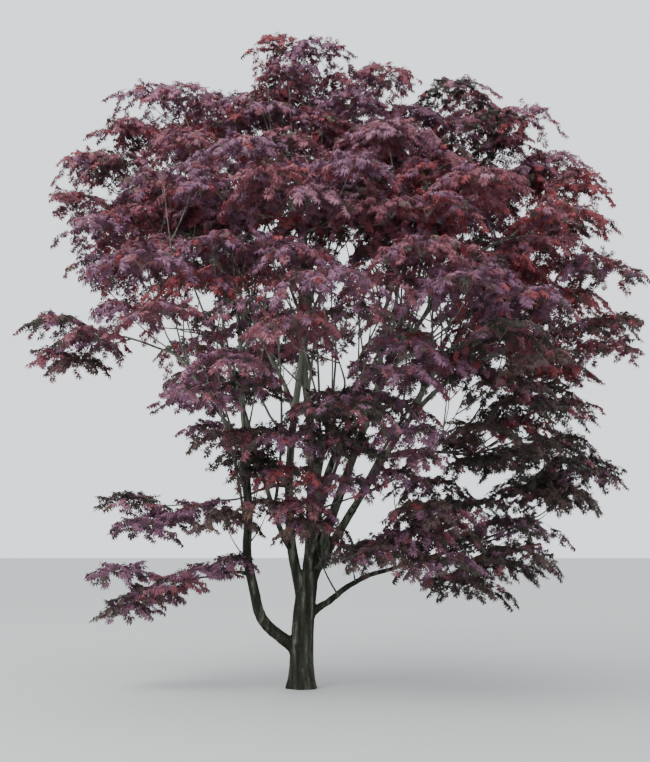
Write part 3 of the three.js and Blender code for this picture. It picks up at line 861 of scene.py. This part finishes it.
def grow_mass(mass, number):
    """The stem that goes on from the bough, and the mass's pads in tiers round it."""
    dice = np.random.default_rng(1000 + number)
    core, size, tip, end = mass["middle"], mass["radius"], mass["tip"], mass["end"]
    way = unit(core - tip)
    length = np.linalg.norm(core - tip) - size * FORK_SHORT
    hub = tip + way * length
    lead = tip + end * length * STEM_LEAD
    leave = lead + end * length * HANDLE / 2
    bend = bezier(lead, leave, hub - way * length * HANDLE, hub, STEM_STEPS)
    stem = np.vstack([tip - end * STEM_SUNK, bend])
    mates = [m for m in masses if m["bough"] == mass["bough"]]
    root_radius = mass["tip_radius"] * (STEM_SHARED if len(mates) > 1 else STEM_ALONE)
    radii = np.append(root_radius * np.linspace(1, 0.5, len(stem)), 0)
    spine(branch_pile, np.vstack([stem, hub + way * 0.1]), radii, 7)

    def space(point):
        return room(mass, point)

    outward = bearing_of(way)
    x, y, z = core
    front = y < FRONT_Y and abs(x - HEART[0]) < FRONT_HALF and FRONT_BOTTOM < z < FRONT_TOP
    lowest = FRONT_LOW_TIER if front else LOW_TIER
    highest = WISP_TIER if in_wisps(core) else TOP_TIER
    count = round(size / PAD_SPAN) - front
    for i in range(count):
        bearing = outward + GOLDEN_ANGLE * i + dice.uniform(-SCATTER, SCATTER)
        tier = highest + (lowest - highest) * i / (count - 1)
        reach = size * dice.uniform(*PAD_REACH) * math.sqrt(1 - tier * tier)
        middle = core + pointing(bearing, 0) * reach + UP * tier * size / FLATNESS
        radius = PAD_RADIUS * size * dice.uniform(*PAD_SIZES)
        for pull in PAD_PULLS:
            place = middle + (core - middle) * pull
            if space(place) > MARGIN:
                break
        else:
            continue
        under = grow_pad(space, number, place, radius, dice)
        grow_branch(along(stem, STEM_BEARS[0] - STEM_BEARS[1] * i / count), under, dice)


for number, mass in enumerate(masses):
    grow_mass(mass, number)
tell_growth()

# %% [markdown]
# ## The fan of thin stems
#
# Seen from below, this crown is a fan of thin grey stems. They leave the boughs at a small angle
# and run up nearly side by side. They stay bare where it is too dark for leaves, fork once or
# twice, and end in small pads under the outer shell of foliage. A stem takes the shortest length
# that brings its tip into one of the masses, and where none does there is no stem.

# %% Where small pads may grow
HEART_RADIUS, HEART_TOP = 1.5, 4.8  # within these no small pad grows, so the stems show
OPEN_SIDE = -1.0  # left of this, and between these heights, the sky shows through
OPEN_BOTTOM, OPEN_TOP = 3.3, 5.3
PAD_SLACK = 0.1  # metres a small pad may pass the masses


def depth_in_masses(point):
    """How deep a point is inside the mass that holds it best; below nothing it is outside all."""
    return max(m["radius"] - np.linalg.norm((point - m["middle"]) * ROUNDED) for m in masses)


def nearest_mass(point):
    return min(range(len(masses)), key=lambda i: np.linalg.norm(point - masses[i]["middle"]))


def is_kept_open(point):
    """In the crown's heart, or where the sky shows through on the left."""
    in_heart = math.dist(point[:2], HEART) < HEART_RADIUS and point[2] < HEART_TOP
    return in_heart or (point[0] < OPEN_SIDE and OPEN_BOTTOM < point[2] < OPEN_TOP)


def first_inside(root, way, lengths):
    for length in lengths:
        point = root + way * length
        if depth_in_masses(point) > 0 and not is_kept_open(point):
            return length
    return 0


def small_pad(place, radius, ribs, dice):
    def space(point):
        return depth_in_masses(point) + PAD_SLACK

    return grow_pad(space, nearest_mass(place), place, radius, dice, ribs)


# %% A stem
STEM_LENGTHS = (0.9, 1.2, 1.5, 1.8, 2.1, 2.4, 2.7)
STEM_ALONG, STEM_SIDE, STEM_RISE = 0.5, 0.45, (0.7, 1.2)  # what a stem's way is mixed from
STEM_PAD, STEM_PAD_RIBS = (0.28, 0.38), 5
STEM_GIRTH, STEM_END = (0.006, 0.006), 0.0042  # radius at the root, for each metre, at the end
FORK_SHARES = (0.45, 0.66)
FORK_LENGTHS = (0.4, 0.6, 0.8, 1.0, 1.2)
FORK_TURN, FORK_SCATTER = 95, 35  # degrees
FORK_SIDE, FORK_RISE = 0.6, 0.15
FORK_PAD, FORK_PAD_RIBS = (0.20, 0.30), 3


def grow_stem(root, way, bearing, thick, dice):
    side = pointing(bearing, 0)
    straight = unit(way * STEM_ALONG + side * STEM_SIDE + UP * dice.uniform(*STEM_RISE))
    length = first_inside(root, straight, STEM_LENGTHS)
    if length == 0:
        return 0
    tip = root + straight * length
    hub = small_pad(tip, dice.uniform(*STEM_PAD), STEM_PAD_RIBS, dice)
    leave = root + unit(way + side * 0.35) * length * 0.4
    line = bezier(root, leave, hub - unit(UP + side * 0.5) * length * 0.25, hub, 7)
    girth = min(thick, STEM_GIRTH[0] + STEM_GIRTH[1] * length)
    spine(branch_pile, line, np.linspace(girth, STEM_END, 8), 6)
    for j, share in enumerate(FORK_SHARES):
        start = along(line, share)
        turn = FORK_TURN if j % 2 else -FORK_TURN
        out = pointing(bearing + turn + dice.uniform(-FORK_SCATTER, FORK_SCATTER), 0)
        heading = unit(way_at(line, share) + out * FORK_SIDE + UP * FORK_RISE)
        length = first_inside(start, heading, FORK_LENGTHS)
        if length:
            place = start + heading * length
            under = small_pad(place, dice.uniform(*FORK_PAD), FORK_PAD_RIBS, dice)
            grow_branch(start, under, dice)
    return 1


# %% The stems that are known one by one
NAMED_STEMS = [  # name, parent and share; two radii; and two ways and a tip for the curve
    ("second_left", "left", 0.1, (0.034, 0.010),
     [(-0.38, -0.3, 1.86), (-0.49, -0.55, 2.83), (-1.0, -0.75, 4.08)]),
    ("second_left_inner", "second_left", 0.3, (0.020, 0.008),
     [(-0.21, -0.4, 2.42), (-0.21, -0.3, 3.22), (-0.31, -0.25, 4.2)]),
    ("twin", "low_left", 0.42, (0.020, 0.008),
     [(-0.65, -0.45, 1.99), (-0.71, -0.6, 2.73), (-1.12, -0.8, 3.58)]),
    ("grey_middle", "back_right", 0.16, (0.024, 0.009),
     [(0.5, -0.2, 2.78), (0.68, -0.45, 3.2), (0.79, -0.6, 4.12)]),
    ("grey_right", "right_far", 0.22, (0.026, 0.009),
     [(0.78, -0.55, 2.4), (0.99, -0.75, 2.88), (1.64, -0.95, 3.66)]),
    ("grey_shelf", "right_far", 0.3, (0.016, 0.006),
     [(0.83, -0.35, 2.17), (1.07, -0.55, 2.32), (1.43, -0.75, 2.58)]),
    ("middle_thin", "top", 0.2, (0.020, 0.008),
     [(0.31, -0.35, 2.87), (0.43, -0.55, 3.42), (0.36, -0.75, 4.29)]),
    ("left_thin", "left", 0.32, (0.018, 0.007),
     [(-0.46, -0.25, 2.89), (-0.59, -0.2, 3.59), (-0.78, -0.35, 4.51)]),
]
NAMED_FORKS = (0.50, 0.64, 0.78, 0.90)
FIRST_BEARING, BEARING_STEP = 90, 40

lines = {name: limb["line"] for name, limb in bough_limbs.items()}
stem_dice = np.random.default_rng(31)
stems = 0
for name, parent, share, (foot, tip), ways in NAMED_STEMS:
    root = along(lines[parent], share)
    lines[name] = bezier(root, *(np.array(way) for way in ways), 10)
    spine(branch_pile, lines[name], tip + (foot - tip) * np.linspace(1, 0, 11) ** TAPER, 8)
    for k, at in enumerate(NAMED_FORKS):
        start, way = along(lines[name], at), way_at(lines[name], at)
        bearing = FIRST_BEARING + GOLDEN_ANGLE * k + BEARING_STEP * stems
        stems += grow_stem(start, way, bearing, 0.5 * foot, stem_dice)
print(stems, "stems on those known one by one")

# %% The other stems
STEM_FROM, STEM_TO, STEM_STEP = 0.08, 0.74, 0.27
STEM_BOUGH_TIP = 2.4  # boughs that end lower than this bear no stems
STEM_SCATTER, STEM_THICK = 25, 0.6

for limb in bough_limbs.values():
    if limb["tip"][2] < STEM_BOUGH_TIP:
        continue
    count = round(limb["length"] * (STEM_TO - STEM_FROM) / STEM_STEP)
    for k in range(count):
        share = STEM_FROM + (STEM_TO - STEM_FROM) * (k + stem_dice.uniform(0.2, 0.8)) / count
        root, way = along(limb["line"], share), way_at(limb["line"], share)
        scatter = stem_dice.uniform(-STEM_SCATTER, STEM_SCATTER)
        bearing = bearing_of(way) + GOLDEN_ANGLE * (k + 1) + scatter
        thick = STEM_THICK * along(limb["radius"][:, None], share)[0]
        stems += grow_stem(root, way, bearing, thick, stem_dice)
print(stems, "stems")
tell_growth()

# %% [markdown]
# ## Sprays between the masses
#
# Some foliage belongs to no mass. Loose sprays hang before the open vase, others close the top of
# the crown, trail below the right side, or lie low over the lawn on the left. Each is a pad of its
# own. It is held by the bough that can reach it with a short, rising branch.

# %% Loose sprays
LOOSE = [  # x, y, z and radius
    # round the top
    (2.78, 0.6, 7.12, 0.4), (3.12, 0.6, 6.5, 0.38), (0.6, 0.2, 7.4, 0.4), (-0.92, 0.3, 7.15, 0.38),
    (-2.18, 0.2, 6.73, 0.38), (-2.6, 0.0, 6.3, 0.34), (2.17, 0.8, 7.4, 0.35),
    # the middle, and out to the right
    (0.94, -0.6, 4.91, 0.45), (1.68, 0.3, 5.25, 0.42), (0.09, -0.9, 5.11, 0.42),
    (-0.36, -0.8, 4.57, 0.4), (-1.04, -0.8, 5.38, 0.36), (2.25, -0.5, 4.0, 0.42),
    (3.13, 0.2, 4.96, 0.36),
    # before the open vase
    (-0.1, -1.5, 2.72, 0.42), (0.12, -1.0, 1.84, 0.34), (0.46, -1.3, 2.26, 0.3),
    (0.89, -1.0, 1.58, 0.42), (0.36, -1.9, 3.07, 0.36), (-0.35, -0.9, 2.06, 0.26),
    (-0.82, -0.8, 1.93, 0.3),
    # below the right side
    (1.52, 0.4, 2.36, 0.4), (1.96, 0.2, 2.11, 0.42), (3.05, 0.3, 2.23, 0.42),
    (1.79, 0.6, 2.86, 0.4), (3.4, 0.5, 2.49, 0.36),
    # before the vase again, where it showed bare
    (-0.41, -1.0, 2.5, 0.26), (0.19, -1.6, 2.98, 0.3), (0.97, -1.0, 2.37, 0.28),
    (0.54, -1.0, 1.58, 0.26),
    # the left edge
    (-2.92, -0.3, 3.81, 0.32), (-2.44, -0.3, 3.97, 0.34),
    # before the vase, down to the right
    (-0.73, -1.1, 2.76, 0.34), (0.53, -1.5, 2.64, 0.3), (0.0, -1.1, 2.05, 0.3),
    (1.12, -0.8, 1.74, 0.36), (1.45, -0.2, 2.03, 0.36),
    # the top right
    (1.3, 0.2, 6.94, 0.4), (2.5, 0.2, 6.57, 0.36), (2.78, 0.2, 6.21, 0.34),
    # before the vase, high and low
    (-0.38, -1.2, 2.79, 0.28), (-0.08, -1.4, 2.36, 0.28), (-0.46, -1.0, 2.39, 0.26),
    (1.19, -1.0, 2.56, 0.28), (1.03, -1.2, 3.07, 0.3), (0.43, -1.6, 2.71, 0.28),
    # low over the lawn
    (-1.93, -0.3, 0.94, 0.26), (-1.69, -0.3, 1.11, 0.26), (-1.07, -0.3, 1.35, 0.24),
    (-0.78, -0.3, 1.46, 0.2),
    # the back, below the top
    (0.55, 1.55, 6.1, 0.42), (1.15, 1.75, 5.9, 0.42), (0.95, 1.15, 6.45, 0.4),
    # between the left masses
    (-1.33, -0.2, 3.29, 0.3), (-1.04, -0.2, 2.96, 0.28), (-0.73, -0.3, 2.63, 0.26),
]
BEST_RISE = 0.6  # sine of the slope at which a branch likes to leave its bough
THIN_BOUGH, THIN_COST = 0.020, 1.2  # a thin bough is a poor foothold
FOOTHOLDS = np.linspace(0.25, 0.98, 16)  # shares of a bough that are tried


def inside_box(point):
    """How far inside the box of the solids a point is."""
    return min(np.min(point - np.array(cad_box[0])), np.min(np.array(cad_box[1]) - point))


def foothold(place):
    """The point of a bough that a short, rising branch to this place would spring from."""
    costs = []
    for limb in bough_limbs.values():
        for share in FOOTHOLDS:
            root = along(limb["line"], share)
            way = place - root
            far = np.linalg.norm(way)
            girth = along(limb["radius"][:, None], share)[0]
            cost = far * (1 + abs(way[2] / far - BEST_RISE))
            costs.append((cost * (THIN_COST if girth < THIN_BOUGH else 1), tuple(root)))
    return np.array(min(costs)[1])


def grow_spray(place, radius, dice):
    under = grow_pad(inside_box, nearest_mass(place), place, radius, dice)
    grow_branch(foothold(under), under, dice)


loose_dice = np.random.default_rng(55)
for *place, radius in LOOSE:
    grow_spray(np.array(place), radius, loose_dice)
tell_growth()

# %% [markdown]
# Neighbouring masses also close their ranks: where two of them nearly meet, a spray grows into the
# gap. So the crown is full from every side and not only from the front.

# %% Sprays in the gaps
GAP_MOST = 1.1  # metres between two masses
GAP_LOW = 3.1  # no such spray below this height, where the vase stays open
GAP_SPACING = 0.55
GAP_PAD = (0.34, 0.44)
GAP_RISE = 0.1  # metres a spray is above the middle of its gap
GAP_COVERED = 0.12  # metres inside a third mass at which no spray is needed
GAP_EDGE = 0.2  # metres from the box of the solids

bridges = []
for i, mass in enumerate(masses):
    for other in masses[i + 1:]:
        way = other["middle"] - mass["middle"]
        span = np.linalg.norm(way * ROUNDED)
        gap = span - mass["radius"] - other["radius"]
        place = mass["middle"] + way * (mass["radius"] + gap / 2) / span + UP * GAP_RISE
        if gap > GAP_MOST or place[2] < GAP_LOW or depth_in_masses(place) > GAP_COVERED:
            continue
        if is_kept_open(place) or inside_box(place) <= GAP_EDGE:
            continue
        taken = [pad[0] for pad in pads[-len(LOOSE):]] + bridges
        if min(np.linalg.norm(place - other_place) for other_place in taken) > GAP_SPACING:
            bridges.append(place)
for place in bridges:
    grow_spray(place, loose_dice.uniform(*GAP_PAD), loose_dice)
print(len(bridges), "sprays in gaps")
tell_growth()

# %% [markdown]
# ## A leaf
#
# The leaf is a palm of five narrow, pointed lobes that spread from the stalk, shorter towards the
# sides. There are nearly two hundred thousand leaves, so each lobe is one slim triangle, and the
# leaf is a short list of corners that later copies only turn and move. The lobes droop at their
# ends, as new leaves hang. A leaf is about as long as the real ones.

# %% Leaf
LEAF = 0.057  # metres, from the stalk to the middle lobe's tip
LOBES = [(0, 1.0), (37, 0.94), (-37, 0.94), (78, 0.70), (-78, 0.70)]  # bearing and length
LOBE_WIDTH, LOBE_BELLY = 0.27, 0.42  # how wide a lobe is, and where along it
TIP_LIFT, BELLY_LIFT, BELLY_REACH = 0.02, 0.07, 0.6
LEAF_DROOP = 0.30

leaf_places, leaf_faces = [np.zeros(3)], []
for k, (angle, length) in enumerate(LOBES):
    side = 1 if angle >= 0 else -1
    tip = pointing(angle, 0) * length
    belly = pointing(angle, 0) * length * LOBE_BELLY
    belly = belly + pointing(angle + 90 * side, 0) * LOBE_WIDTH * length
    leaf_places += [tip, belly]
    face = (0, len(leaf_places) - 2, len(leaf_places) - 1)
    leaf_faces.append(face if side > 0 else face[::-1])
leaf_places, leaf_faces = np.array(leaf_places), np.array(leaf_faces)
out = np.linalg.norm(leaf_places, axis=1)
leaf_places[:, 2] = np.where(out > BELLY_REACH, TIP_LIFT, BELLY_LIFT) * out - LEAF_DROOP * out**2
leaf_places *= LEAF
print("leaf", len(leaf_places), "corners,", len(leaf_faces), "faces")

# %% [markdown]
# ## Sprays of leaves
#
# A shoot bears its leaves in pairs, one to either side, with one at the end.
# A handful of such sprays are made once. Each shoot then takes one of them, turned to its own
# way, so that the leaves cost no more work than a few rows of numbers.

# %% Kinds of spray
SPRAY_KINDS = 12
PAIRS, PAIR_FROM = 3, 0.7
LEAF_TURN, LEAF_WOBBLE = (45, 95), 14  # degrees, as the next
LEAF_FALL, LEAF_TILT = (-58, 2), 0.35
LEAF_SIZES, LEAF_STALK = (0.74, 1.18), 0.012


def frame_of(way, up):
    x = unit(way)
    y = unit(np.cross(up, x))
    return np.column_stack([x, y, np.cross(x, y)])


def make_spray(seed):
    dice = np.random.default_rng(seed)
    places, faces = [], []
    leaves = [(1.0, 0.0)]
    for pair in range(PAIRS):
        for side in (1, -1):
            leaves.append(((pair + PAIR_FROM) / PAIRS, side * dice.uniform(*LEAF_TURN)))
    for share, turn in leaves:
        way = pointing(turn + dice.normal(0, LEAF_WOBBLE), dice.uniform(*LEAF_FALL))
        up = unit(np.array([dice.normal(0, LEAF_TILT), dice.normal(0, LEAF_TILT), 1.0]))
        size = dice.uniform(*LEAF_SIZES)
        stalk = np.array([share * SHOOT_LENGTH, 0, 0]) + way * LEAF_STALK
        faces.append(leaf_faces + len(places) * len(leaf_places))
        places.append(leaf_places @ frame_of(way, up).T * size + stalk)
    return np.concatenate(places), np.concatenate(faces)


kinds = [make_spray(50 + k) for k in range(SPRAY_KINDS)]
print("faces in a spray", len(kinds[0][1]), "and leaves in all", len(shoots) * (2 * PAIRS + 1))

# %% [markdown]
# ## Colour of the leaves
#
# Seen close, the sprays differ in tint: most are wine red, young ones are crimson, and a few are
# bronze, more of them in the heart of the crown. Light and shade are painted into the tints too:
# the upper sprays and the flat plates at the low left are more often violet or rose, a painted
# highlight of the sky, and the sprays under the pads, low in the crown, in its heart and on its
# right side are more often dusk or shade, a painted shade. Each tint is a plain base colour,
# and every spray is dealt one by where it grows and by a throw of the dice. Half of a pad's
# sprays wear the pad's own tint, so that the crown reads as clumps.

# %% Leaf materials
# dusk and shade are dark tints used mostly as painted shade; rose, and purple in part, are a painted
# highlight of the sky.
TINTS = {
    "wine": (0.198, 0.068, 0.087),
    "purple": (0.173, 0.081, 0.128),
    "dusk": (0.089, 0.056, 0.052),
    "crimson": (0.228, 0.051, 0.060),
    "rose": (0.270, 0.122, 0.168),
    "bronze": (0.118, 0.070, 0.050),
    "shade": (0.044, 0.037, 0.031),
}
LEAF_LOOKS = {"Roughness": 0.60, "Specular IOR Level": 0.2}

leaf_looks = {}
for name, colour in TINTS.items():
    looks = {"Base Color": (*colour, 1), **LEAF_LOOKS}
    leaf_looks[name] = plain_material(name + " leaves", looks)
print("leaf materials", ", ".join(leaf_looks))

# %% Chances of a tint
AXIS_X = 0.3
OUTER, OUTER_BOTTOM, INNER, INNER_TOP = 2.2, 4.2, 1.6, 5.2
# Where the front, the low part and the others start, and over how many metres each comes in
FRONT_IN, FRONT_DOWN, FRONT_RIGHT = (0.5, 0.6), (-5.2, 1.4), 1.9
LOW_DOWN, TOP_UP, RIGHT_OUT = (-4.2, 1.6), (5.8, 1.2), (1.2, 1.5)


def ramp(value, start, span):
    """0 up to the start, 1 from the span's end on, and a slope between them."""
    return min(max((value - start) / span, 0), 1)


def chances_at(pad):
    """How likely each tint is for a pad: its own chance, and what the place adds and takes."""
    (x, y, z), _, number = pads[pad]
    tier = (z - masses[number]["middle"][2]) * FLATNESS / masses[number]["radius"]
    high, under = max(0, tier), tier < 0
    outward = math.hypot(x - AXIS_X, y)
    outer, inner = outward > OUTER and z > OUTER_BOTTOM, outward < INNER and z < INNER_TOP
    wisp = in_wisps((x, y, z))
    front = ramp(-y, *FRONT_IN) * ramp(-z, *FRONT_DOWN) * (x < FRONT_RIGHT)
    low = ramp(-z, *LOW_DOWN) * (1 - 0.75 * wisp) * (1 - 0.6 * front)
    top = ramp(z, *TOP_UP)
    right = ramp(x, *RIGHT_OUT) * (1 - 0.4 * top)
    # Painted light: high tiers, the top of the crown and the low-left plates favour purple and rose, a
    # painted highlight of the sky; the undersides, the low crown, the heart and the right side favour dusk
    # and shade, a painted shade. The front before the vase is spared part of that shade.
    chances = {
        "wine": (1 - 0.6 * low) * (1 - 0.5 * wisp),
        "purple": (0.6 + 0.6 * high) * (1 - 0.4 * low) * (1 - 0.6 * right)
        + 0.4 * top * (1 - right) + 0.9 * wisp + 0.4 * front,
        "dusk": (0.25 + 0.25 * under) * (1 - 0.6 * top)
        + 0.8 * low + 0.3 * right * (1 - top) + 0.25 * inner,
        "crimson": (0.25 + 0.4 * outer + 0.35 * right)
        * (1 - 0.9 * low) * (1 - 0.9 * wisp) * (1 - 0.5 * front),
        "rose": (0.08 + 0.3 * high) * (1 - 0.8 * low) * (1 - 0.7 * right)
        + 0.3 * top * (1 - right),
        "bronze": 0.04 + 0.10 * inner,
        "shade": 0.10 * (1 - top) + 1.3 * low + (0.15 + 0.8 * low) * right * (1 - 0.6 * top),
    }
    return np.array(list(chances.values())) / sum(chances.values())


pad_chances = [chances_at(pad) for pad in range(len(pads))]
print("mean chances", dict(zip(TINTS, np.mean(pad_chances, axis=0).round(2))))

# %% Leaves
PIECE_MOST = 190_000
OWN_TINT = 0.5  # share of a pad's sprays that wear the pad's own tint
SPRAY_SIZES = (0.85, 1.15)
SHOOT_RADII = (0.0012, 0.0005)

names = list(TINTS)
leaf_piles = {name: [Pile()] for name in names}
dice = np.random.default_rng(7)
pad_tints = [names[dice.choice(len(names), p=chances)] for chances in pad_chances]
for root, way, up, pad, seed in shoots:
    if dice.random() < OWN_TINT:  # the odd spray is bronze, never a whole pad
        name = "wine" if pad_tints[pad] == "bronze" else pad_tints[pad]
    else:
        name = names[dice.choice(len(names), p=pad_chances[pad])]
    places, faces = kinds[seed % SPRAY_KINDS]
    size = dice.uniform(*SPRAY_SIZES)
    piles = leaf_piles[name]
    if piles[-1].count / len(leaf_places) * len(leaf_faces) > PIECE_MOST:
        piles.append(Pile())
    piles[-1].add(places @ frame_of(way, up).T * size + root, faces)
    spine(shoot_pile, np.array([root, root + way * SHOOT_LENGTH * size]), SHOOT_RADII, 3)

leaf_pieces = []
for name, piles in leaf_piles.items():
    for k, pile in enumerate(piles):
        piece = pile.mesh("leaves_%s_%d" % (name, k + 1), leaf_looks[name])
        leaf_pieces.append(piece)
        print(piece.name, len(piece.data.polygons), "faces")
branches = branch_pile.mesh("branches", bark)
twigs = twig_pile.mesh("twigs", young_bark)
shoot_stalks = shoot_pile.mesh("shoots", young_bark)
for piece in (branches, twigs, shoot_stalks):
    print(piece.name, len(piece.data.polygons), "faces")

# %% [markdown]
# ## What stands for what
#
# The bark skin stands for the trunk, the boughs' mesh for the boughs, and leaves and twigs
# together for the masses of foliage. Everything rides on the tree's one body.

# %% Places in the frame
mass_nodes = [mass["node"] for mass in masses]
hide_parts("trunk")
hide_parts(*["bough_" + name for name in limbs if name != "trunk"])
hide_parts(*mass_nodes)
for piece in leaf_pieces + [twigs, shoot_stalks]:
    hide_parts(*mass_nodes)
for piece in leaf_pieces + [fork, boughs, branches, twigs, shoot_stalks]:
    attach(piece, "root")

bpy.context.view_layer.update()
